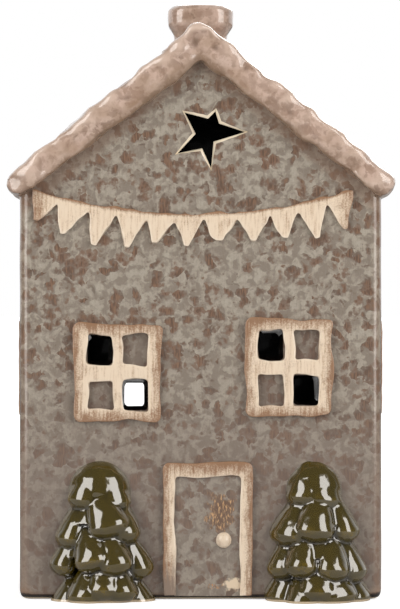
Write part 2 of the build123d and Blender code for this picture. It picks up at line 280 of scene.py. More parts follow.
def axes_of(tree, place):
    """The x, y and z of a place."""
    return add(tree, "SeparateXYZ", {0: place}).outputs


def fade(tree, value, start, end):
    """A soft step from 0 at start to 1 at end."""
    steps = {"Value": value, "From Min": start, "From Max": end}
    return add(tree, "MapRange", steps, interpolation_type="SMOOTHSTEP").outputs["Result"]


def noise(tree, place, size, detail=2.0):
    """Cloudy noise with blots of about this size."""
    return add(tree, "TexNoise", {"Vector": place, "Scale": 1 / size, "Detail": detail}).outputs["Fac"]


def streaks(tree, place, wide, tall, detail=2.0):
    """Noise drawn out into upright streaks, or level ones where they are wider than tall."""
    scale = (1 / wide, 1 / wide, 1 / tall)
    return noise(tree, add(tree, "Mapping", {"Vector": place, "Scale": scale}).outputs["Vector"], 1, detail)


# %% Mix colours
def tint(red, green, blue):
    """A colour as a screen shows it, in the linear light that shaders use."""
    shown = [part / 255 for part in (red, green, blue)]
    return (*[part / 12.92 if part < 0.04 else ((part + 0.055) / 1.055) ** 2.4 for part in shown], 1)


def blend(tree, share, first, second):
    """A mix of two colours."""
    return add(tree, "Mix", {0: share, 6: first, 7: second}, data_type="RGBA").outputs[2]


def paint(tree, colour, shade, mask, strength=1):
    """Lay a shade over a colour where a mask lets it through."""
    share = mask if strength == 1 else calc(tree, "MULTIPLY", mask, strength)
    return blend(tree, share, colour, tint(*shade))


# %% Start and use a group of nodes
def start_group(title, inputs, outputs):
    """An empty node group with number sockets, and a place to read."""
    group = bpy.data.node_groups.new(title, "ShaderNodeTree")
    group.interface.new_socket("Place", in_out="INPUT", socket_type="NodeSocketVector")
    for way, names in (("INPUT", inputs), ("OUTPUT", outputs)):
        for name in names:
            group.interface.new_socket(name, in_out=way, socket_type="NodeSocketFloat")
    return group, group.nodes.new("NodeGroupInput").outputs, group.nodes.new("NodeGroupOutput").inputs


def use(tree, group, values):
    """Place a group in a glaze and return its outputs."""
    node = tree.nodes.new("ShaderNodeGroup")
    node.node_tree = group
    feed(tree, node.inputs, values)
    return node.outputs


# %% Mottling, where one glaze boils through another
CELL = 3.5 * MM
BENDS = ((6 * MM, 6 * MM), (2 * MM, 2.4 * MM))


def make_mottling():
    """Masks of brown spots, their cores and halos, of soft tones, dark flecks and fine grain."""
    names = ("Islands", "Cores", "Halos", "Tones", "Flecks", "Strokes", "Grain")
    group, given, wanted = start_group("mottling", ("Cover",), names)
    place = given["Place"]
    bent = place
    for size, reach in BENDS:
        drift = add(group, "TexNoise", {"Vector": place, "Scale": 1 / size, "Detail": 2}).outputs["Color"]
        drift = shift(group, "SUBTRACT", drift, (0.5, 0.5, 0.5))
        bent = shift(group, "ADD", bent, shift(group, "MULTIPLY", drift, (reach, reach, reach)))
    cells = add(group, "TexVoronoi", {"Vector": bent, "Scale": 1 / CELL}).outputs
    chance = fade(group, axes_of(group, cells["Color"])[0], 0.05, 1.0)
    reach = calc(group, "MULTIPLY_ADD", chance, 0.6, given["Cover"])
    level = calc(group, "MULTIPLY_ADD", cells["Distance"], -0.8, reach)
    ragged = noise(group, place, 1.5 * MM, 4)
    level = calc(group, "MULTIPLY_ADD", ragged, 1.0, calc(group, "SUBTRACT", level, 0.5))
    feed(group, wanted, {
        "Islands": fade(group, level, -0.1, 0.14),
        "Cores": fade(group, level, 0.1, 0.34),
        "Halos": fade(group, level, -0.5, 0.02),
        "Tones": fade(group, noise(group, bent, 3 * MM, 3), 0.4, 0.6),
        "Flecks": fade(group, noise(group, bent, 2.4 * MM), 0.63, 0.74),
        "Strokes": fade(group, streaks(group, place, 0.5 * MM, 3.5 * MM), 0.4, 0.65),
        "Grain": noise(group, place, 0.45 * MM),
    })
    return group


mottling = make_mottling()
print("glaze group:", mottling.name)


# %% Brushwork, where a glaze was put on with a stiff brush
def make_brushwork():
    """Masks of upright strokes, of bare, blotchy places and of fine grain."""
    group, given, wanted = start_group("brushwork", (), ("Strokes", "Blotches", "Grain"))
    place = given["Place"]
    feed(group, wanted, {
        "Strokes": fade(group, streaks(group, place, 0.7 * MM, 7 * MM), 0.42, 0.68),
        "Blotches": fade(group, noise(group, place, 5 * MM, 3), 0.45, 0.68),
        "Grain": noise(group, place, 0.4 * MM),
    })
    return group


brushwork = make_brushwork()
print("glaze group:", brushwork.name)


# %% Start, set and wear a glaze
def start_glaze(title):
    """A material with its nodes, and the places of the piece that wears it."""
    material = bpy.data.materials.new(title)
    material.use_nodes = True
    tree = material.node_tree
    return material, tree, add(tree, "TexCoord").outputs["Object"]


def read_note(tree, title):
    """A number that was stored on the piece."""
    return add(tree, "Attribute", attribute_name=title).outputs["Fac"]


def set_glaze(material, colour, settings, relief=None, strength=0.0, depth=0.0):
    """Give the shader its colour, its other settings and a relief of this depth."""
    tree = material.node_tree
    shader = tree.nodes["Principled BSDF"].inputs
    feed(tree, shader, {"Base Color": colour, **settings})
    if relief is not None:
        bump = add(tree, "Bump", {"Height": relief, "Strength": strength, "Distance": depth})
        tree.links.new(bump.outputs[0], shader["Normal"])
    return material


def wear(piece, material, body, slot, *nodes):
    """Put the material on a piece, tie it to its body and let it stand for its solids."""
    piece.data.materials.clear()
    piece.data.materials.append(material)
    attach(piece, body)
    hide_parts(*nodes)
    tell(piece)


# %% [markdown]
# ## The walls
# The walls, gables and floor are one hollow casting. The star, two panes of each window and the back
# opening are cut right through it while the clay is soft, so their edges are a little round. Outside it
# carries the mottled grey glaze. Inside it is black, painted shade for the dark house, and below the gables
# the rims of the cuts are dark brown painted shade, while the rim of the star shows the cream body where the
# glaze ran off. The solid already has this shape, so it is cast, softened and rippled rather than modelled
# again.

# %% Cast the walls
wall_low, wall_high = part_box("house_walls")
WALL = 5 * MM
FRONT = wall_low.y
ROOF_RISE = math.tan(math.radians(39))
INTO_ROOF = 3 * MM


def under_roof(spot):
    """Whether a place lies on the slopes that carry the roof."""
    return spot.z > wall_high.z - ROOF_RISE * abs(spot.x) - NEAR


walls = cast_from("glazed_walls", "house_walls")
grab(walls, under_roof)
bpy.ops.transform.translate(value=(0, 0, INTO_ROOF))
let_go()
tell(walls)

# %% [markdown]
# The small cuts are made again with a sharp knife. Softening would round a star's tips away, so star and
# panes are plugged first and cut out afterwards. The knife leans, which leaves a slanted rim that catches
# the light. The corner of floor and front wall is cut clean too, so that the tealight can slide right up to
# it.

# %% Plug the star and the panes
STAR = ((12.9, 0.6), (4.4, 3.4), (3.2, 7.4), (0.8, 5.0), (-6.9, 7.0), (-3.3, 0.0), (-9.2, -6.4), (-1.2, -4.8),
        (1.8, -11.3), (2.6, -2.6))
STAR_MIDDLE = Vector((1.7 * MM, FRONT, 153.9 * MM))
STAR_PLUG = (27 * MM, 26 * MM)
PANE = Vector((7.9 * MM, 0, 9.7 * MM))
PANE_STEP = Vector((5.85 * MM, 0, 7.4 * MM))
PLUG_OVER = 2 * MM
WINDOWS = ("window_frame_left", "window_frame_right", "side_window_frame_left", "side_window_frame_right")


def open_panes():
    """The middle of each open pane on the outside of its wall, the way out of that wall and along it."""
    for node in WINDOWS:
        low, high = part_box(node)
        middle = (low + high) / 2
        if "side" in node:
            out = Vector((math.copysign(1, middle.x), 0, 0))
            middle.x = math.copysign(wall_high.x, middle.x)
        else:
            out = Vector((0, -1, 0))
            middle.y = FRONT
        across = Vector((-out.y, out.x, 0))
        for way in (-1, 1):
            yield middle + across * PANE_STEP.x * way - Vector((0, 0, PANE_STEP.z * way)), out, across


def plug(middle, out, across, width, height):
    """A block that fills the wall at a cut."""
    side = across * (width / 2) + Vector((0, 0, height / 2))
    return block(middle - side, middle + side - out * WALL)


plugs = [plug(*pane, PANE.x + PLUG_OVER, PANE.z + PLUG_OVER) for pane in open_panes()]
plugs.append(plug(STAR_MIDDLE, Vector((0, -1, 0)), Vector((1, 0, 0)), *STAR_PLUG))
print("plugs:", len(plugs))
walls = join("glazed_walls", plugs + [walls])
soften(walls, grain=0.8 * MM, rounds=5)
ripple(walls, size=16 * MM, depth=0.2 * MM)
note_edges(walls, rounds=14, depth=0.5 * MM)
work(walls, "DECIMATE", ratio=0.4)
grab(walls, lambda spot: spot.z < 0)
bpy.ops.transform.resize(value=(1, 1, 0), center_override=(0, 0, 0))
let_go()

# %% Shape the knives
STAR_RIM = 1.9
STAR_RIM_DEEP = 1.1 * MM
RIM_OVER = 0.2 * MM
TIP_LIMIT = 0.9
PANE_UNDER = 0.5 * MM
PANE_NARROW = 0.68
PANE_LEAN = 0.6 * MM
PANE_ROUND = 1.2 * MM
PANE_UNEVEN = 0.3 * MM


def grow(outline, rim):
    """The outline moved outwards by a rim, and not much further at its tips."""
    grown = []
    for number, corner in enumerate(outline):
        before = Vector(corner) - Vector(outline[number - 1])
        after = Vector(outline[(number + 1) % len(outline)]) - Vector(corner)
        outward = Vector((before.y, -before.x)).normalized() + Vector((after.y, -after.x)).normalized()
        reach = min(2 / outward.length, TIP_LIMIT)
        grown.append(Vector(corner) + outward.normalized() * rim * reach)
    return grown


def star_knife():
    """A cutter with the star's outline: a wide mouth, a slanted rim, then straight through the wall."""
    knife = start(bpy.ops.mesh.primitive_circle_add, vertices=len(STAR), radius=1, fill_type="NGON")
    for vertex, (x, z) in zip(knife.data.vertices, STAR):
        vertex.co = STAR_MIDDLE + Vector((x * MM, STAR_RIM_DEEP, z * MM))
    grab(knife)
    extrude(0, WALL, 0)
    grab(knife, lambda spot: spot.y < STAR_MIDDLE.y + WALL / 2)
    extrude(0, -STAR_RIM_DEEP - RIM_OVER, 0)
    let_go()
    for vertex in knife.data.vertices:
        if vertex.co.y < STAR_MIDDLE.y:
            near = [(vertex.co.x - STAR_MIDDLE.x) / MM, (vertex.co.z - STAR_MIDDLE.z) / MM]
            number = min(range(len(STAR)), key=lambda index: math.dist(STAR[index], near))
            wide = grow(STAR, STAR_RIM)[number]
            vertex.co.x = STAR_MIDDLE.x + wide.x * MM
            vertex.co.z = STAR_MIDDLE.z + wide.y * MM
    face_out(knife)
    return knife


def pane_knife(middle, out, across, seed):
    """A cutter for one pane: a block with uneven corners that narrows inwards and leans to one side."""
    side = across * (PANE.x / 2 + PANE_UNDER) + Vector((0, 0, PANE.z / 2 + PANE_UNDER))
    knife = block(middle - side + out * MM, middle + side - out * (WALL + MM))
    inner = middle - out * WALL / 2
    grab(knife, lambda spot: (spot - inner).dot(out) < 0)
    shrink = [1 if abs(part) > 0.5 else PANE_NARROW for part in out]
    bpy.ops.transform.resize(value=shrink, center_override=middle)
    bpy.ops.transform.translate(value=across * -PANE_LEAN)
    bpy.ops.mesh.select_all(action="SELECT")
    bpy.ops.mesh.bevel(offset=PANE_ROUND, segments=3, affect="EDGES")
    bpy.ops.mesh.select_all(action="SELECT")
    bpy.ops.transform.vertex_random(offset=PANE_UNEVEN, uniform=0.0, normal=0.0, seed=seed)
    let_go()
    return knife


# %% Cut them out again
SEAT_HALF = 24 * MM
SEAT_HIGH = 9 * MM
SEAT_GAP = 0.05 * MM
SEAT_UNDER = 0.15 * MM
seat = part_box("tealight_cup")[0].z
corner_low = (-SEAT_HALF, FRONT + WALL + SEAT_GAP, seat - SEAT_UNDER)
knives = [pane_knife(*pane, seed) for seed, pane in enumerate(open_panes())]
knives.append(star_knife())
knives.append(block(corner_low, (SEAT_HALF, -SEAT_HALF, seat + SEAT_HIGH)))
print("knives:", len(knives))
knife = join("knife", knives)
work(walls, "BOOLEAN", object=knife, operation="DIFFERENCE", solver="EXACT")
bpy.data.objects.remove(knife)
work(walls, "TRIANGULATE")
pick(walls)
bpy.ops.object.shade_smooth_by_angle(angle=math.radians(40))

# %% Know the depth and the windows
WALL_ROUND = 3.5 * MM
FRAME_INSET = 2 * MM


def make_depth():
    """How deep a place lies under the outer skin of the walls, in millimetres."""
    group, given, wanted = start_group("depth under the skin", (), ("Depth",))
    axes = axes_of(group, given["Place"])
    sides = [calc(group, "SUBTRACT", calc(group, "ABSOLUTE", axes[axis]), wall_high[axis] - WALL_ROUND)
             for axis in (0, 1)]
    x, y = [calc(group, "MAXIMUM", side, 0) for side in sides]
    outside = calc(group, "SQRT", calc(group, "MULTIPLY_ADD", x, x, calc(group, "MULTIPLY", y, y)))
    inside = calc(group, "MINIMUM", calc(group, "MAXIMUM", *sides), 0)
    reach = calc(group, "ADD", outside, inside)
    depth = calc(group, "MULTIPLY", calc(group, "SUBTRACT", WALL_ROUND, reach), 1 / MM)
    feed(group, wanted, {"Depth": depth})
    return group


def in_windows(tree, axes):
    """1 on the wall within a window frame, where two panes are only marked, and 0 elsewhere."""
    found = 0.0
    for node in WINDOWS:
        low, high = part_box(node)
        inside = 1.0
        for axis in range(3):
            inset = FRAME_INSET if high[axis] - low[axis] > 2 * FRAME_INSET else -MM
            above = calc(tree, "GREATER_THAN", axes[axis], low[axis] + inset)
            below = calc(tree, "LESS_THAN", axes[axis], high[axis] - inset)
            inside = calc(tree, "MULTIPLY", inside, calc(tree, "MULTIPLY", above, below))
        found = calc(tree, "MAXIMUM", found, inside)
    return found


depth_group = make_depth()
print("glaze group:", depth_group.name)

# %% The grey glaze of the walls
UMBER = (112, 96, 84)
# Painted shade: the near black of the dark inside of the house.
SHADE_BLACK = (18, 14, 12)


def mottled_colour(tree, place):
    """The grey wall glaze: soft greys, brown spots and dark flecks. Returns the colour and the masks."""
    masks = use(tree, mottling, {"Place": place, "Cover": 0.0})
    colour = blend(tree, masks["Tones"], tint(138, 128, 117), tint(170, 162, 149))
    colour = paint(tree, colour, (132, 119, 107), masks["Halos"], 0.3)
    rust = fade(tree, noise(tree, place, 7 * MM), 0.35, 0.65)
    spot = blend(tree, rust, tint(110, 95, 85), tint(127, 103, 88))
    colour = blend(tree, calc(tree, "MULTIPLY", masks["Islands"], 0.9), colour, spot)
    core = blend(tree, masks["Strokes"], tint(98, 77, 65), tint(138, 106, 84))
    colour = blend(tree, calc(tree, "MULTIPLY", masks["Cores"], 0.8), colour, core)
    colour = paint(tree, colour, (103, 90, 81), masks["Flecks"], 0.55)
    colour = paint(tree, colour, UMBER, masks["Strokes"], 0.12)
    colour = paint(tree, colour, UMBER, fade(tree, masks["Grain"], 0.4, 0.7), 0.14)
    return colour, masks


def make_wall_glaze():
    """Mottled grey and a cream star rim, with painted shade: dark rims, black inside, darker blind panes and
    foot.
    """
    material, tree, place = start_glaze("mottled grey glaze")
    colour, masks = mottled_colour(tree, place)
    axes = axes_of(tree, place)
    height = axes[2]
    slope = calc(tree, "MULTIPLY_ADD", calc(tree, "ABSOLUTE", axes[0]), ROOF_RISE, height)
    ragged = calc(tree, "MULTIPLY_ADD", noise(tree, place, 3 * MM, 3), 6 * MM, slope)
    under_edge = fade(tree, ragged, wall_high.z - 5 * MM, wall_high.z)
    colour = paint(tree, colour, (140, 112, 94), under_edge, 0.5)
    # Painted shade: the wall is darker towards the bottom.
    colour = paint(tree, colour, (116, 101, 92), fade(tree, height, 90 * MM, 25 * MM), 0.6)
    # Painted shade: the blind panes, sunk inside their frames, are darker.
    colour = paint(tree, colour, (102, 88, 80), in_windows(tree, axes), 0.5)
    colour = paint(tree, colour, (150, 116, 90), fade(tree, read_note(tree, "edge"), 0.3, 1.2), 0.55)
    ragged = calc(tree, "MULTIPLY_ADD", masks["Grain"], 2 * MM, height)
    colour = paint(tree, colour, (96, 78, 66), fade(tree, ragged, 4.2 * MM, 2.2 * MM), 0.6)
    depth = use(tree, depth_group, {"Place": place})["Depth"]
    gable = fade(tree, height, 100 * MM, 120 * MM)
    # Painted shade: below the gables the rims of the cuts turn dark brown; the star's rim shows the cream
    # body.
    rim = blend(tree, gable, tint(60, 46, 38), tint(240, 226, 202))
    colour = blend(tree, fade(tree, depth, 0.24, 0.34), colour, rim)
    # Painted shade: deeper in, the walls turn black where the house is dark.
    dark = calc(tree, "MULTIPLY_ADD", gable, -0.75, depth)
    colour = paint(tree, colour, SHADE_BLACK, fade(tree, dark, 0.35, 0.6))
    colour = paint(tree, colour, (222, 203, 176), fade(tree, height, 1.0 * MM, 0.5 * MM))
    gloss = {"Roughness": 0.2, "Coat Weight": 0.6, "Coat Roughness": 0.06}
    relief = calc(tree, "MULTIPLY_ADD", masks["Grain"], 0.25, calc(tree, "MULTIPLY", masks["Islands"], -0.8))
    return set_glaze(material, colour, gloss, relief, strength=0.25, depth=0.15 * MM)


wear(walls, make_wall_glaze(), "house", "wall_glaze", "house_walls")

# %% [markdown]
# ## The roof
# Round-ended tiles lie in courses on a thick deck whose front edge hangs over the gable like a soft roll.
# In the kiln the glaze ran off the butts of the tiles and pooled in the joints. Deck and tiles are cast
# together, so that one skin runs over them all. A thin roll of clay is pressed into the corner under each
# gable edge, because that corner is filled on the real house, and a ball of clay rounds off each end of the
# eaves. The edges are then smoothed and rippled by themselves.

# %% Press on rolls and noses
PITCH = math.atan(ROOF_RISE)
ROLL_DEEP = 2.6 * MM
ROLL_TAPER = 2.4 * MM
ROLL_IN = 3 * MM
ROLL_SHY = 0.6 * MM
NOSE = Vector((61.0 * MM, 43.4 * MM, 137.6 * MM))
NOSE_RADIUS = 4.3 * MM
roof_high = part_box("roof_deck")[1]


def press_roll(side, out):
    """A roll of clay under one slope, in the corner between the deck and the front or back wall."""
    reach = wall_high.x / math.cos(PITCH) / 2
    back = (wall_high.y - ROLL_IN) * out
    front = (roof_high.y - ROLL_SHY) * out
    roll = block((-reach - 3 * MM, back, -ROLL_DEEP), (reach - 2 * MM, front, 1 * MM))
    grab(roll, lambda spot: spot.x > 0)
    bpy.ops.transform.translate(value=(0, 0, ROLL_TAPER))
    let_go()
    roll.scale.x = side
    roll.rotation_euler = (0, PITCH * side, 0)
    middle = wall_high.x / 2
    roll.location = (middle * side, 0, wall_high.z - ROOF_RISE * middle)
    settle(roll)
    face_out(roll)
    return roll


def press_nose(side, out):
    """A ball of clay that rounds off the end of a gable edge at the eaves."""
    nose = start(bpy.ops.mesh.primitive_uv_sphere_add, segments=24, ring_count=16, radius=NOSE_RADIUS)
    nose.location = (NOSE.x * side, NOSE.y * out, NOSE.z)
    return settle(nose)


roof = cast_from("glazed_roof", "roof_deck", "roof_tiles_left", "roof_tiles_right")
corners = [(side, out) for side in (-1, 1) for out in (-1, 1)]
rolls = [press_roll(*corner) for corner in corners]
noses = [press_nose(*corner) for corner in corners]
roof = join("glazed_roof", rolls + noses + [roof])
soften(roof, grain=0.72 * MM, rounds=3)
tell(roof)


# %% Smooth and ripple the edges
def mark(piece, title, wanted):
    """Name the vertices for which wanted holds as a group."""
    group = piece.vertex_groups.new(name=title)
    group.add(np.flatnonzero(wanted).tolist(), 1.0, "REPLACE")
    print(title, "has", int(wanted.sum()), "vertices")


along_x, along_y, _ = places(roof).T
mark(roof, "verge", np.abs(along_y) > wall_high.y - 1 * MM)
mark(roof, "front", along_y < 1 * MM - wall_high.y)
mark(roof, "eaves", np.abs(along_x) > wall_high.x - 1 * MM)
mark(roof, "noses", (np.abs(along_x) > NOSE.x - 6 * MM) & (np.abs(along_y) > NOSE.y - 9 * MM))
for group, rounds in (("verge", 26), ("eaves", 16), ("noses", 30)):
    slump(roof, rounds, group)
ripple(roof, size=11 * MM, depth=3 * MM, group="front", level=0.5)
ripple(roof, size=6 * MM, depth=0.7 * MM)
note_edges(roof, rounds=12, depth=0.35 * MM)

# %% The taupe glaze of the roof
GLOSS = {"Roughness": 0.22, "Coat Weight": 0.8, "Coat IOR": 1.65, "Coat Roughness": 0.05}
FINE = 0.1 * MM
INNER = (wall_high.x - WALL, wall_high.y - WALL)


def start_taupe(title):
    """The roof glaze: pinkish taupe, paler on edges and brown in the joints."""
    material, tree, place = start_glaze(title)
    masks = use(tree, mottling, {"Place": place, "Cover": -0.06})
    edge = read_note(tree, "edge")
    colour = blend(tree, masks["Tones"], tint(174, 149, 134), tint(198, 172, 157))
    wash = fade(tree, noise(tree, place, 9 * MM, 3), 0.45, 0.65)
    colour = paint(tree, colour, (158, 132, 110), wash, 0.5)
    colour = paint(tree, colour, (146, 118, 100), masks["Islands"], 0.5)
    colour = paint(tree, colour, (120, 95, 80), masks["Flecks"], 0.45)
    colour = paint(tree, colour, (208, 184, 168), fade(tree, edge, 0.1, 1.6))
    colour = paint(tree, colour, (98, 76, 62), fade(tree, edge, -0.12, -0.8), 0.85)
    return material, tree, place, colour, masks


def within(tree, axes, halves, blur):
    """1 inside an upright shaft round the middle of the house, and 0 beyond this blur."""
    x, y = [fade(tree, calc(tree, "ABSOLUTE", axes[axis]), halves[axis] + blur, halves[axis])
            for axis in (0, 1)]
    return calc(tree, "MULTIPLY", x, y)


def make_roof_glaze():
    """Taupe, browner on low edges, with painted shade: browner where faces look down, black inside over the
    candle.
    """
    material, tree, place, colour, masks = start_taupe("taupe glaze")
    axes = axes_of(tree, place)
    facing = axes_of(tree, add(tree, "NewGeometry").outputs["Normal"])[2]
    inside = calc(tree, "MULTIPLY", within(tree, axes, INNER, 1.5 * MM), fade(tree, facing, 0.1, -0.2))
    # Painted shade: faces that look down are browner.
    ragged = calc(tree, "MULTIPLY_ADD", masks["Tones"], 0.5, facing)
    colour = paint(tree, colour, (126, 98, 78), fade(tree, ragged, 0.1, -0.5), 0.7)
    slope = calc(tree, "MULTIPLY_ADD", calc(tree, "ABSOLUTE", axes[0]), ROOF_RISE, axes[2])
    ragged = calc(tree, "MULTIPLY_ADD", noise(tree, place, 3 * MM, 3), -5 * MM, slope)
    low_edge = fade(tree, ragged, wall_high.z + 0.5 * MM, wall_high.z - 4 * MM)
    colour = paint(tree, colour, (140, 112, 88), low_edge, 0.7)
    # Painted shade: the underside inside the walls is black.
    colour = paint(tree, colour, SHADE_BLACK, inside)
    return set_glaze(material, colour, GLOSS, masks["Grain"], strength=0.12, depth=FINE)


wear(roof, make_roof_glaze(), "house", "roof_glaze", "roof_deck", "roof_tiles_left", "roof_tiles_right")

# %% [markdown]
# ## The chimney
# The chimney is a short stack with round corners, a swollen cap and a flue that lets the warm air out. It
# is drawn up from a flat face: the top is widened into the cap, a smaller face is set into it and pushed
# down to make the flue.

# %% Draw the chimney up
stack_low, stack_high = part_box("chimney")
CAP_OUT = 2 * MM
CAP_TALL = 7 * MM
CAP_FLARE = 3.2 * MM
CAP_ROUND = 1.6 * MM
CAP_TOP = 0.84
STACK_ROUND = 6 * MM
STACK_SUNK = 0.8 * MM
FLUE = Vector((10 * MM, 8 * MM, 0))
FLUE_SHORT = 0.5 * MM


def model_chimney():
    """A stack with a swollen cap, set into the roof, and a flue right through it."""
    foot = stack_low.z - STACK_SUNK
    shoulder = stack_high.z - CAP_TALL - CAP_FLARE
    middle = (stack_low + stack_high) / 2
    cap = stack_high - stack_low
    shaft = cap - Vector((2 * CAP_OUT, 2 * CAP_OUT, 0))
    stack = start(bpy.ops.mesh.primitive_plane_add, size=1, location=(middle.x, middle.y, foot))
    stack.scale = (shaft.x, shaft.y, 1)
    settle(stack)
    grab(stack)
    bpy.ops.mesh.bevel(offset=STACK_ROUND, segments=5, affect="VERTICES")
    bpy.ops.mesh.select_all(action="SELECT")
    extrude(0, 0, shoulder - foot)
    grab(stack, lambda spot: spot.z > shoulder - NEAR)
    extrude(0, 0, CAP_FLARE)
    bpy.ops.transform.resize(value=(cap.x / shaft.x, cap.y / shaft.y, 1))
    extrude(0, 0, CAP_TALL - CAP_ROUND)
    extrude(0, 0, CAP_ROUND)
    bpy.ops.transform.resize(value=(CAP_TOP, CAP_TOP, 1))
    bpy.ops.mesh.inset(thickness=(CAP_TOP * cap.y - FLUE.y) / 2)
    extrude(0, 0, foot - stack_high.z + FLUE_SHORT)
    bpy.ops.mesh.delete(type="FACE")
    grab(stack, lambda spot: spot.z < foot + FLUE_SHORT + 2 * NEAR)
    bpy.ops.mesh.delete(type="ONLY_FACE")
    grab(stack, lambda spot: spot.z < stack_low.z)
    bpy.ops.mesh.bridge_edge_loops()
    face_out(stack)
    return join("glazed_chimney", [stack])


chimney = model_chimney()
soften(chimney, grain=0.4 * MM, rounds=24)
ripple(chimney, size=7 * MM, depth=0.5 * MM)
note_edges(chimney, rounds=14, depth=0.35 * MM)

# %% Glaze the chimney
FLUE_HALVES = (FLUE.x / 2 + 0.3 * MM, FLUE.y / 2 + 0.3 * MM)


def make_chimney_glaze():
    """The roof's taupe, with painted shade: black deep in the flue."""
    material, tree, place, colour, masks = start_taupe("taupe chimney glaze")
    axes = axes_of(tree, place)
    # Painted shade: the flue turns black below its mouth.
    deep = fade(tree, axes[2], stack_high.z - 1.5 * MM, stack_high.z - 4 * MM)
    flue_shade = calc(tree, "MULTIPLY", within(tree, axes, FLUE_HALVES, 0.7 * MM), deep)
    colour = paint(tree, colour, (22, 17, 14), flue_shade)
    return set_glaze(material, colour, GLOSS, masks["Grain"], strength=0.1, depth=FINE)


wear(chimney, make_chimney_glaze(), "house", "roof_glaze", "chimney")

# %% [markdown]
# ## Cream trim
# Bunting, window frames, door frame and knob are strips of clay stuck on to the wet wall and brushed with
# cream glaze after it. The brush leaves upright strokes, and towards the outer edges the cream thins out to
# brown. Each piece stores how far a place lies from its outline, and the glaze reads that.

# %% The brushed cream glaze
SUNK = 0.7 * MM


def note_rim(piece, inset):
    """Store how far in from its outline each vertex lies, as 0 on the outline and 1 well inside."""
    store(piece, "rim", inset.clip(0, 1))


def make_cream_glaze(title, brushed=0.35, faded=False):
    """Cream with brush strokes. A faded one turns brown towards the foot of its left post."""
    material, tree, place = start_glaze(title)
    masks = use(tree, brushwork, {"Place": place})
    edge = read_note(tree, "edge")
    rim = read_note(tree, "rim")
    colour = paint(tree, tint(230, 211, 188), (202, 172, 142), masks["Strokes"], brushed)
    thin = calc(tree, "ADD", rim, -0.12)
    grain = fade(tree, masks["Grain"], 0.3, 0.7)
    for mask, share in ((masks["Strokes"], -0.3), (masks["Blotches"], -0.3), (grain, -0.35)):
        thin = calc(tree, "MULTIPLY_ADD", mask, share, thin)
    colour = paint(tree, colour, (148, 114, 88), fade(tree, thin, 0.65, -0.5))
    lip = blend(tree, fade(tree, rim, 0.4, 0.9), tint(158, 122, 94), tint(240, 225, 205))
    colour = blend(tree, calc(tree, "MULTIPLY", fade(tree, edge, 0.2, 1.3), 0.6), colour, lip)
    colour = paint(tree, colour, (112, 86, 66), fade(tree, edge, -0.5, -1.6))
    if faded:
        axes = axes_of(tree, place)
        ragged = calc(tree, "MULTIPLY_ADD", masks["Strokes"], 5 * MM, axes[2])
        left = fade(tree, axes[0], 0.0, -4 * MM)
        bare = calc(tree, "MULTIPLY", fade(tree, ragged, 17 * MM, 6 * MM), left)
        colour = paint(tree, colour, (140, 122, 108), bare)
    gloss = {"Roughness": 0.26, "Coat Weight": 0.7, "Coat Roughness": 0.05}
    relief = calc(tree, "MULTIPLY_ADD", masks["Grain"], 0.3, masks["Strokes"])
    return set_glaze(material, colour, gloss, relief, strength=0.2, depth=0.12 * MM)


cream_glaze = make_cream_glaze("brushed cream glaze")
thick_cream_glaze = make_cream_glaze("thick cream glaze", brushed=0.15)
faded_cream_glaze = make_cream_glaze("faded cream glaze", faded=True)

# %% [markdown]
# ## The bunting
# A sagging string carries eleven pennants. They hang square to the string, so they lean out towards its
# ends. Each is modelled from a short block of string whose underside is drawn down to a narrow tip.
# Together they are joined into one soft relief.

# %% Draw out the pennants
string_low, string_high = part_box("bunting")
NOTCHES = (-47, -37.1, -27.2, -18, -8.5, 1.2, 11.8, 22.4, 31.8, 41.8)
DROPS = (6.6, 9.2, 10.8, 9.6, 7.8, 8.2, 7.2, 7.6, 8.2, 10.0, 9.6)
STRING_RISE = 1.2 * MM
STRING_SAG = 8 * MM
STRING_DEEP = 2.6 * MM
TIP_SHARE = 0.18
LEAN_LEFT = -0.42
LEAN_RIGHT = 0.22


def string_height(x):
    """The top of the string at x: a shallow arc between its ends."""
    middle = (string_low.x + string_high.x) / 2
    share = (x - middle) / (string_high.x - middle)
    return string_high.z + STRING_RISE - STRING_SAG * (1 - share * share)


def model_pennant(left, right, lean, drop):
    """A block of string with its underside drawn down to a tip."""
    top = (string_height(left) + string_height(right)) / 2
    slope = (string_height(right) - string_height(left)) / 2
    piece = block((left, string_low.y, top - STRING_DEEP), (right, string_high.y + SUNK, top))
    middle = (left + right) / 2
    grab(piece, lambda spot: spot.x > middle)
    bpy.ops.transform.translate(value=(0, 0, slope))
    grab(piece, lambda spot: spot.x < middle)
    bpy.ops.transform.translate(value=(0, 0, -slope))
    grab(piece, lambda spot: spot.z < top - STRING_DEEP / 2)
    extrude((right - left) * lean, 0, -drop)
    bpy.ops.transform.resize(value=(TIP_SHARE, 1, TIP_SHARE))
    let_go()
    return piece


def model_bunting():
    """All the pennants on their string, no two quite alike."""
    marks = [string_low.x, *[notch * MM for notch in NOTCHES], string_high.x]
    pieces = []
    for number, drop in enumerate(DROPS):
        lean = LEAN_LEFT + (LEAN_RIGHT - LEAN_LEFT) * number / len(NOTCHES)
        pieces.append(model_pennant(marks[number], marks[number + 1], lean, drop * MM))
    return join("cream_bunting", pieces)


bunting = model_bunting()
soften(bunting, grain=0.3 * MM, rounds=14)
sway(bunting, size=6 * MM, reach=1.5 * MM, seed=0)
ripple(bunting, size=3 * MM, depth=0.25 * MM)
note_edges(bunting, rounds=20, depth=0.25 * MM)

# %% Glaze the bunting
STRING_BROWN = 1.4 * MM
ENDS_BROWN = 9 * MM
ENDS_OVER = 2 * MM
along_x, _, along_z = places(bunting).T
under_string = (np.array([string_height(x) for x in along_x]) - along_z) / STRING_BROWN
from_ends = np.minimum(along_x - string_low.x + ENDS_OVER, string_high.x - along_x + ENDS_OVER) / ENDS_BROWN
note_rim(bunting, np.minimum(under_string, from_ends))
wear(bunting, cream_glaze, "house", "cream_glaze", "bunting")

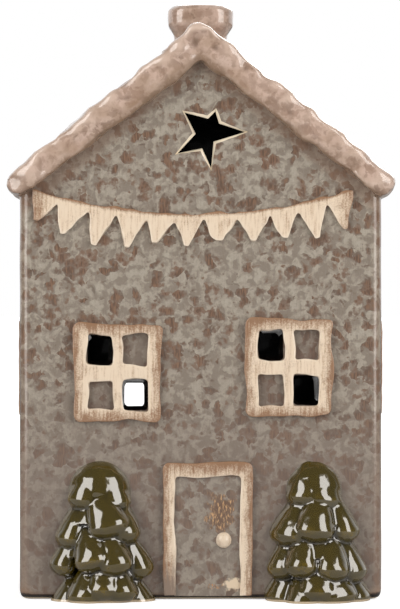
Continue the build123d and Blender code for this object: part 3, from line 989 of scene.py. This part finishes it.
# %% [markdown]
# ## The windows
# Each window is a frame of six rolled strips: three upright and three level, pressed together so that the
# corners run into each other. A peg of clay rounds each outer corner, and the soft clay sways under the
# thumb. Each window is modelled flat against a wall at the origin, then turned and moved on to its wall.

# %% Press the strips of a window together
frame_low, frame_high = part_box("window_frame_left")
FRAME_DEEP = frame_high.y - frame_low.y
FRAME_HALF = (frame_high - frame_low) / 2
STILE = 5.2 * MM
RAIL = 4.45 * MM
CORNER = 2.2 * MM
SHY = 0.4 * MM
SIDE_BROWN = 4.4 * MM
TOP_BROWN = 6 * MM


def peg(x, z, front, back):
    """A round peg of clay for an outer corner."""
    piece = start(bpy.ops.mesh.primitive_cylinder_add, vertices=32, radius=CORNER, depth=back - front)
    piece.rotation_euler = (QUARTER, 0, 0)
    piece.location = (x, (front + back) / 2, z)
    return settle(piece)


def roll_strips(name, strips, bend, reach, seed):
    """Press strips of clay into one frame that sways a little."""
    piece = join(name, strips)
    soften(piece, grain=0.33 * MM, rounds=18)
    sway(piece, bend, reach, seed)
    ripple(piece, size=4 * MM, depth=0.3 * MM)
    note_edges(piece, rounds=18, depth=0.25 * MM)
    return piece


def model_window(name, seed):
    """A window frame centred on the origin, with the wall behind it at y = 0."""
    front = -FRAME_DEEP
    wide = FRAME_HALF.x - SHY
    tall = FRAME_HALF.z - SHY
    pane_x = FRAME_HALF.x - STILE
    pane_z = FRAME_HALF.z - RAIL
    bars = []
    for left, right in ((-wide, -pane_x), (PANE.x - pane_x, pane_x - PANE.x), (pane_x, wide)):
        bars.append(block((left, front, CORNER - tall), (right, SUNK, tall - CORNER)))
    for low, high in ((-tall, -pane_z), (PANE.z - pane_z, pane_z - PANE.z), (pane_z, tall)):
        bars.append(block((CORNER - wide, front, low), (wide - CORNER, SUNK, high)))
    for x in (CORNER - wide, wide - CORNER):
        for z in (CORNER - tall, tall - CORNER):
            bars.append(peg(x, z, front, SUNK))
    window = roll_strips(name, bars, 10 * MM, 1.7 * MM, seed)
    aside, _, upright = np.abs(places(window)).T
    note_rim(window, np.minimum((FRAME_HALF.x - aside) / SIDE_BROWN, (FRAME_HALF.z - upright) / TOP_BROWN))
    return window


# %% Hang the four windows
def hang_window(node, name, seed, turn):
    """Model a window and move it on to its wall."""
    low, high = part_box(node)
    window = model_window(name, seed)
    window.rotation_euler = (0, 0, turn)
    outward = Vector((math.sin(turn), -math.cos(turn), 0))
    window.location = (low + high) / 2 - outward * FRAME_DEEP / 2
    settle(window)
    wear(window, cream_glaze, "house", "cream_glaze", node)


hang_window("window_frame_left", "cream_window_left", 3, 0)
hang_window("window_frame_right", "cream_window_right", 21, 0)
hang_window("side_window_frame_left", "cream_side_window_left", 40, -QUARTER)
hang_window("side_window_frame_right", "cream_side_window_right", 60, QUARTER)

# %% [markdown]
# ## The door
# Two posts and a lintel frame a plain leaf. The leaf carries the wall's grey glaze, rubbed through to brown
# beside the latch, and a domed cream knob. The posts are rolled strips like the window bars, and the knob
# is a flattened ball.

# %% Frame the door
door_low, door_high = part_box("door_frame")
leaf_low, leaf_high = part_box("door_leaf")
POST_BROWN = 3.5 * MM
door_back = door_high.y + SUNK
peg_z = door_high.z - CORNER
peg_left = door_low.x + CORNER
peg_right = door_high.x - CORNER
posts = [
    block((door_low.x, door_low.y, door_low.z), (leaf_low.x, door_back, peg_z)),
    block((leaf_high.x, door_low.y, door_low.z), (door_high.x, door_back, peg_z)),
    block((peg_left, door_low.y, leaf_high.z), (peg_right, door_back, door_high.z)),
    peg(peg_left, peg_z, door_low.y, door_back),
    peg(peg_right, peg_z, door_low.y, door_back),
]
door_frame = roll_strips("cream_door_frame", posts, 13 * MM, 1.1 * MM, 4)
along_x, _, along_z = places(door_frame).T
aside = np.minimum(along_x - door_low.x, door_high.x - along_x)
note_rim(door_frame, np.minimum(aside / POST_BROWN, (door_high.z - along_z) / TOP_BROWN))
wear(door_frame, faded_cream_glaze, "house", "cream_glaze", "door_frame")

# %% Glaze the leaf
RUBBED = ((6.6 * MM, 0, 29 * MM), (5 * MM, 7.2 * MM))
SPLASH = ((11 * MM, 0, 5.2 * MM), (3 * MM, 2.4 * MM))
DRIPS = ((5.2 * MM, 0, 4.6 * MM), (3 * MM, 0.9 * MM))


def patch(tree, place, middle, size):
    """A ragged patch: 1 inside it and 0 outside."""
    axes = axes_of(tree, shift(tree, "SUBTRACT", place, middle))
    x = calc(tree, "MULTIPLY", axes[0], 1 / size[0])
    z = calc(tree, "MULTIPLY", axes[2], 1 / size[1])
    reach = calc(tree, "SQRT", calc(tree, "MULTIPLY_ADD", x, x, calc(tree, "MULTIPLY", z, z)))
    ragged = calc(tree, "MULTIPLY_ADD", noise(tree, place, 1.6 * MM, 3), 1.6, reach)
    return fade(tree, ragged, 1.85, 1.5)


def make_leaf_glaze():
    """The wall's glaze, rubbed through to brown beside the latch and splashed with cream at the foot."""
    material, tree, place = start_glaze("rubbed grey glaze")
    colour, masks = mottled_colour(tree, place)
    colour = paint(tree, colour, (116, 102, 92), 0.35)
    rubbed = patch(tree, place, *RUBBED)
    colour = paint(tree, colour, (108, 83, 66), rubbed, 0.85)
    specks = fade(tree, streaks(tree, place, 0.4 * MM, 1.5 * MM), 0.5, 0.66)
    colour = paint(tree, colour, (196, 156, 114), rubbed, specks)
    colour = paint(tree, colour, (220, 200, 174), patch(tree, place, *SPLASH))
    colour = paint(tree, colour, (186, 136, 92), patch(tree, place, *DRIPS), specks)
    return set_glaze(material, colour, GLOSS, masks["Grain"], strength=0.12, depth=FINE)


leaf_glaze = make_leaf_glaze()
print("glaze:", leaf_glaze.name)

# %% Set the leaf
leaf = block(leaf_low - Vector((MM, 0, 0)), leaf_high + Vector((MM, SUNK, MM)))
join("glazed_door_leaf", [leaf])
soften(leaf, grain=0.4 * MM, rounds=4)
ripple(leaf, size=8 * MM, depth=0.3 * MM)
wear(leaf, leaf_glaze, "house", "wall_glaze", "door_leaf")

# %% Turn the knob
knob_low, knob_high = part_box("door_knob")
KNOB_SLIM = 0.97


def model_knob():
    """A flattened ball, cut off just under the face of the leaf."""
    middle = (knob_low + knob_high) / 2
    half = (knob_high - knob_low) / 2
    knob = start(bpy.ops.mesh.primitive_uv_sphere_add, segments=40, ring_count=24, radius=1)
    knob.scale = (half.x * KNOB_SLIM, half.y * 2, half.z)
    knob.location = (middle.x, knob_high.y, middle.z)
    settle(knob)
    grab(knob)
    slice_off((0, knob_high.y + SUNK, 0), (0, 1, 0), NEAR)
    let_go()
    return join("cream_door_knob", [knob])


knob = model_knob()
soften(knob, grain=0.22 * MM, rounds=6)
ripple(knob, size=2 * MM, depth=0.2 * MM)
note_edges(knob, rounds=12, depth=0.2 * MM)
note_rim(knob, np.ones(len(knob.data.vertices)))
wear(knob, thick_cream_glaze, "house", "cream_glaze", "door_knob")

# %% [markdown]
# ## The firs
# Each fir is a half-round relief of drooping boughs in four tiers: two, three, four and five of them from
# the top. A bough is a ball whose rings are drawn in towards a round head above a swollen lip. It is
# modelled slim, and once more broad for the two that make the cap. Copies hang out of skirts of clay, and
# the remesh runs them into one shape, with valleys between them for the green glaze to pool in.

# %% Model one bough
BOUGH_RINGS = 20
LIP = -0.58
HEAD_SHARE = 0.5
CAP_SHARE = 0.82
TAPER = 1.3
DOME = 2.6
SAME_RING = 0.004


def model_bough(head_share):
    """A drooping bough, 2 units tall, with a swollen lip and a round head of this share of its width."""
    bough = start(bpy.ops.mesh.primitive_uv_sphere_add, segments=32, ring_count=BOUGH_RINGS, radius=1)
    for ring in range(1, BOUGH_RINGS):
        level = math.cos(math.pi * ring / BOUGH_RINGS)
        if level < LIP:
            wanted = math.sqrt(1 - ((level - LIP) / (1 + LIP)) ** 2)
        else:
            rise = (level - LIP) / (1 - LIP)
            wanted = (1 - (1 - head_share) * rise ** TAPER) * math.sqrt(1 - rise ** DOME)
        share = wanted / math.sin(math.pi * ring / BOUGH_RINGS)
        grab(bough, lambda spot: abs(spot.z - level) < SAME_RING)
        bpy.ops.transform.resize(value=(share, share, 1), center_override=(0, 0, level))
    let_go()
    return bough


# %% Hang the boughs out of their skirts
# Each tier: how many boughs, and in mm the height of their lips, their reach, half width and half height.
# The last number is the turn from one bough to the next in degrees.
TIERS = ((5, -1.0, 17.2, 6.0, 8.4, 32), (4, 9.6, 17.4, 5.6, 9.2, 40), (3, 20.4, 15.6, 6.2, 9.2, 50),
         (2, 31.2, 12.8, 6.4, 8.6, 64))
SKIRT_IN = 2.8 * MM
SKIRT_UP = 5.0 * MM
SKIRT_TAPER = 7 * MM
SKIRT_SHARE = 1.7
BOUGH_DEEP = 4.2 * MM
BOUGH_LEAN = math.radians(21)
CAP_LEAN = math.radians(20)
BOUGH_DROOP = 2.0 * MM
TOP_LEAN = -1.6 * MM
TURN_WANDER = 0.09
DROP_WANDER = 1.1 * MM
ROLL_WANDER = 0.16
WIDTH_WANDER = 0.08


def hang_bough(bough, axis, low, reach, half_width, half_height, lean, turn, roll):
    """A copy of the bough with its lip at this reach and height, turned round the trunk."""
    copy = put("bough", bough.data.copy())
    copy.scale = (half_width, BOUGH_DEEP, half_height)
    copy.rotation_euler = (-lean, roll, turn)
    inward = BOUGH_DEEP * math.cos(lean) - LIP * half_height * math.sin(lean)
    outward = Vector((math.sin(turn), -math.cos(turn), 0))
    copy.location = axis + outward * (reach - inward) + Vector((0, 0, low + half_height * math.cos(lean)))
    return settle(copy)


def model_tier(axis, tier, bough, lean, share, wander):
    """The boughs of one tier, each wandering a little from its place."""
    count, foot, reach, half_width, half_height, step = tier
    boughs = []
    for number in range(count):
        turn = math.radians(step) * (number - (count - 1) / 2) + wander.normal(0, TURN_WANDER)
        drop = foot * MM - BOUGH_DROOP * abs(turn) + wander.normal(0, DROP_WANDER)
        roll = wander.normal(0, ROLL_WANDER)
        width = half_width * MM * share * (1 + wander.normal(0, WIDTH_WANDER))
        reached = reach * MM * share
        boughs.append(hang_bough(bough, axis, drop, reached, width, half_height * MM, lean, turn, roll))
    return boughs


def model_skirt(axis, foot, reach, half_height):
    """The cone of clay behind the boughs of a tier. The lowest one stands on the table."""
    wide = reach * MM - SKIRT_IN
    depth = half_height * MM * SKIRT_SHARE
    skirt = start(bpy.ops.mesh.primitive_cone_add, vertices=40, radius1=wide, radius2=wide - SKIRT_TAPER,
                  depth=depth)
    lift = SKIRT_UP if foot > 0 else 0
    skirt.location = axis + Vector((0, 0, foot * MM + lift + depth / 2))
    return settle(skirt)


# %% Run them into a fir
TREE_DEEP = 4 * MM
FIR_SPREAD = 1.07
CROWN_WIDE = 11.3 * MM
CROWN_TALL = 11.2 * MM
CROWN_OVER = 0.8 * MM


def model_fir(name, node, seed, cap_share):
    """A half-round fir against the front wall, with a cap of this share of the full width."""
    low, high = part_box(node)
    trunk = Vector(((low.x + high.x) / 2, high.y + TREE_DEEP, 0))
    wander = np.random.default_rng(seed)
    slim = model_bough(HEAD_SHARE)
    broad = model_bough(CAP_SHARE)
    pieces = []
    for tier in TIERS:
        _, foot, reach, _, half_height, _ = tier
        axis = trunk + Vector((TOP_LEAN * max(foot * MM, 0) / high.z, 0, 0))
        if tier == TIERS[-1]:
            pieces += model_tier(axis, tier, broad, CAP_LEAN, cap_share, wander)
        else:
            pieces += model_tier(axis, tier, slim, BOUGH_LEAN, 1.0, wander)
            pieces.append(model_skirt(axis, foot, reach, half_height))
    crown = start(bpy.ops.mesh.primitive_uv_sphere_add, segments=32, ring_count=20, radius=1)
    crown.scale = (CROWN_WIDE * cap_share, CROWN_WIDE * cap_share, CROWN_TALL)
    crown.location = axis + Vector((0, 0, high.z + CROWN_OVER - CROWN_TALL))
    settle(crown)
    bpy.data.objects.remove(slim)
    bpy.data.objects.remove(broad)
    fir = join(name, pieces + [crown])
    grab(fir)
    bpy.ops.transform.resize(value=(FIR_SPREAD, 1, 1), center_override=trunk)
    let_go()
    soften(fir, grain=0.38 * MM, rounds=9)
    ripple(fir, size=6 * MM, depth=0.4 * MM)
    grab(fir)
    slice_off((0, high.y + SUNK, 0), (0, 1, 0), NEAR)
    slice_off((0, 0, low.z), (0, 0, -1), EXACT)
    let_go()
    note_edges(fir, rounds=16, depth=0.4 * MM)
    return fir


# %% The bottle green glaze
def make_green_glaze():
    """Thick green glass: golden where it is thin on the ridges, nearly black where it pools."""
    material, tree, place = start_glaze("bottle green glaze")
    level = calc(tree, "MULTIPLY_ADD", noise(tree, place, 4 * MM, 3), 0.9, read_note(tree, "edge"))
    colour = blend(tree, fade(tree, level, -0.6, 0.5), tint(28, 22, 2), tint(70, 59, 12))
    colour = paint(tree, colour, (126, 104, 30), fade(tree, level, 0.6, 1.7))
    colour = paint(tree, colour, (206, 186, 156), fade(tree, axes_of(tree, place)[2], 0.9 * MM, 0.5 * MM))
    glass = {"Roughness": 0.12, "IOR": 1.75, "Coat Weight": 1.0, "Coat IOR": 1.75, "Coat Roughness": 0.02}
    return set_glaze(material, colour, glass, noise(tree, place, 1.6 * MM, 1), strength=0.08, depth=0.2 * MM)


green_glaze = make_green_glaze()
left_fir = model_fir("green_fir_left", "tree_left", 5, 0.94)
right_fir = model_fir("green_fir_right", "tree_right", 12, 0.86)
wear(left_fir, green_glaze, "house", "green_glaze", "tree_left")
wear(right_fir, green_glaze, "house", "green_glaze", "tree_right")

# %% [markdown]
# ## The tealight
# A tealight is a pressed aluminium cup with fine flutes, a disc of wax and a braided wick on a steel foot.
# The cup is drawn from a cylinder: every second side is pushed in for the flutes, and the top is hollowed
# out.

# %% Press the cup
cup_low, cup_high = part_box("tealight_cup")
FLUTES = 60
FLUTE_SHARE = 0.975
LIP_WIDE = 0.6 * MM
LIP_DEEP = 1.2 * MM
CUP_WALL = 0.3 * MM
CUP_FLOOR = 0.4 * MM


def model_cup():
    """A fluted cup with a turned lip."""
    depth = cup_high.z - cup_low.z
    middle = (cup_low.z + cup_high.z) / 2
    cup = start(bpy.ops.mesh.primitive_cylinder_add, vertices=FLUTES * 2, radius=cup_high.x, depth=depth,
                location=(0, 0, middle))
    settle(cup)
    grab(cup, lambda spot: round(math.atan2(spot.y, spot.x) * FLUTES / math.pi) % 2 == 0)
    bpy.ops.transform.resize(value=(FLUTE_SHARE, FLUTE_SHARE, 1), center_override=(0, 0, middle))
    grab(cup, lambda spot: spot.z > middle)
    bpy.ops.mesh.inset(thickness=LIP_WIDE)
    extrude(0, 0, -LIP_DEEP)
    bpy.ops.mesh.inset(thickness=CUP_WALL)
    extrude(0, 0, LIP_DEEP + CUP_FLOOR - depth)
    let_go()
    return join("fluted_cup", [cup])


cup = model_cup()
work(cup, "BEVEL", width=0.15 * MM, segments=2, limit_method="ANGLE", angle_limit=math.radians(50))
pick(cup)
bpy.ops.object.shade_smooth_by_angle(angle=math.radians(35))


# %% Metal, wax and cotton
def make_metal(title, shade, roughness):
    """Thin rolled metal with fine scratches round it."""
    material, tree, place = start_glaze(title)
    scratches = streaks(tree, place, 3 * MM, 0.15 * MM, 3)
    colour = blend(tree, scratches, tint(*[part - 18 for part in shade]), tint(*shade))
    rough = calc(tree, "MULTIPLY_ADD", scratches, 0.2, roughness)
    return set_glaze(material, colour, {"Roughness": rough, "Metallic": 1.0})


def make_wax():
    """White paraffin, a little cloudy, with light inside it."""
    material, tree, place = start_glaze("white wax")
    cloud = noise(tree, place, 5 * MM, 3)
    colour = blend(tree, cloud, tint(226, 220, 206), tint(240, 236, 226))
    soft = {"Roughness": 0.4, "Subsurface Weight": 0.25, "Subsurface Radius": (4 * MM, 3 * MM, 2 * MM)}
    return set_glaze(material, colour, soft, cloud, strength=0.15, depth=0.3 * MM)


def make_cotton():
    """Waxed cotton with the slant of a braid."""
    material, tree, place = start_glaze("braided cotton")
    wave = {"Vector": place, "Scale": 1 / (3 * MM), "Distortion": 1.5}
    braid = add(tree, "TexWave", wave, bands_direction="DIAGONAL").outputs["Fac"]
    colour = blend(tree, braid, tint(196, 186, 166), tint(228, 220, 204))
    return set_glaze(material, colour, {"Roughness": 0.8}, braid, strength=0.5, depth=0.2 * MM)


aluminium = make_metal("pressed aluminium", (214, 214, 214), 0.25)
wear(cup, aluminium, "tealight", "tealight_metal", "tealight_cup")
wax = cast_from("wax_disc", "tealight_wax")
soften(wax, grain=0.5 * MM, rounds=6)
wear(wax, make_wax(), "tealight", "tealight_wax", "tealight_wax")
wick = cast_from("braided_wick", "tealight_wick")
soften(wick, grain=0.15 * MM, rounds=3)
wear(wick, make_cotton(), "tealight", "wick_cotton", "tealight_wick")
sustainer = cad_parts["wick_sustainer"]
sustainer.data.materials.clear()
sustainer.data.materials.append(make_metal("tinned steel", (176, 174, 170), 0.35))

# %% [markdown]
# ## The studio
# The house stands on a white table between two upright softboxes, with a long lens straight in front. The
# softboxes draw the pairs of highlights on the firs, and a weaker one lights the back. The table and the
# surroundings show white to the camera, and the table still takes the shadow.

# %% Table and surroundings
TABLE_SIZE = 40
TABLE_TOP = -0.02 * MM


def make_table():
    """A matt white table that shows white to the camera where nothing shades it, and dimmer in glazes."""
    table = start(bpy.ops.mesh.primitive_plane_add, size=TABLE_SIZE, location=(0, 0, TABLE_TOP))
    table.name = "table"
    settle(table)
    material, tree, place = start_glaze("white table")
    path = add(tree, "LightPath").outputs
    colour = calc(tree, "MULTIPLY_ADD", path["Is Glossy Ray"], -0.3, 0.8)
    reach = add(tree, "VectorMath", {0: place}, operation="LENGTH").outputs["Value"]
    white = calc(tree, "MULTIPLY_ADD", fade(tree, reach, 0.25, 1.2), 0.33, 0.67)
    glow = calc(tree, "MULTIPLY", path["Is Camera Ray"], white)
    matt = {"Roughness": 1.0, "Specular IOR Level": 0.0}
    set_glaze(material, colour, {"Emission Color": (1, 1, 1, 1), "Emission Strength": glow, **matt})
    table.data.materials.append(material)


def make_surroundings():
    """Dim grey walls for the light, white where the camera looks past the house."""
    world = bpy.context.scene.world or bpy.data.worlds.new("studio")
    bpy.context.scene.world = world
    world.use_nodes = True
    tree = world.node_tree
    path = add(tree, "LightPath").outputs
    seen = calc(tree, "MAXIMUM", path["Is Camera Ray"], path["Is Transmission Ray"])
    direction = axes_of(tree, add(tree, "TexCoord").outputs["Generated"])
    mirrored = calc(tree, "MULTIPLY", path["Is Glossy Ray"], fade(tree, direction[1], -0.1, 0.5))
    white = calc(tree, "MAXIMUM", seen, mirrored)
    dim = calc(tree, "MULTIPLY_ADD", path["Is Glossy Ray"], -0.2, 0.28)
    strength = calc(tree, "MAXIMUM", white, dim)
    feed(tree, tree.nodes["Background"].inputs, {"Color": (1, 1, 1, 1), "Strength": strength})


make_table()
make_surroundings()

# %% Softboxes and camera
SOFTBOX_POWER = 8.2
SOFTBOX_SIZE = (0.65, 1.1)
BACK_POWER = 7.0
BACK_SIZE = (0.9, 0.7)
WARM_WHITE = (1.0, 0.97, 0.93)
AIM = Vector((0, 0, 0.08))
LENS = 161.2
SENSOR = 36


def hang_softbox(name, place, size, power):
    """An upright softbox that faces the house."""
    lamp = bpy.data.lights.new(name, "AREA")
    lamp.shape = "RECTANGLE"
    lamp.size, lamp.size_y = size
    lamp.energy = power
    lamp.color = WARM_WHITE
    box = put(name, lamp)
    box.location = place
    box.rotation_euler = (AIM - Vector(place)).to_track_quat("-Z", "Y").to_euler()
    box.visible_camera = False


hang_softbox("softbox_left", (-0.8, -0.8, 0.5), SOFTBOX_SIZE, SOFTBOX_POWER)
hang_softbox("softbox_right", (0.8, -0.8, 0.5), SOFTBOX_SIZE, SOFTBOX_POWER)
hang_softbox("softbox_back", (0.3, 1.1, 0.8), BACK_SIZE, BACK_POWER)

lens = bpy.data.cameras.new("long lens")
lens.lens = LENS
lens.sensor_width = SENSOR
camera = put("camera", lens)
camera.location = (-0.000165, -0.942, 0.0975)
camera.rotation_euler = (QUARTER, 0, 0)
bpy.context.scene.camera = camera
bpy.context.scene.view_settings.view_transform = "Standard"
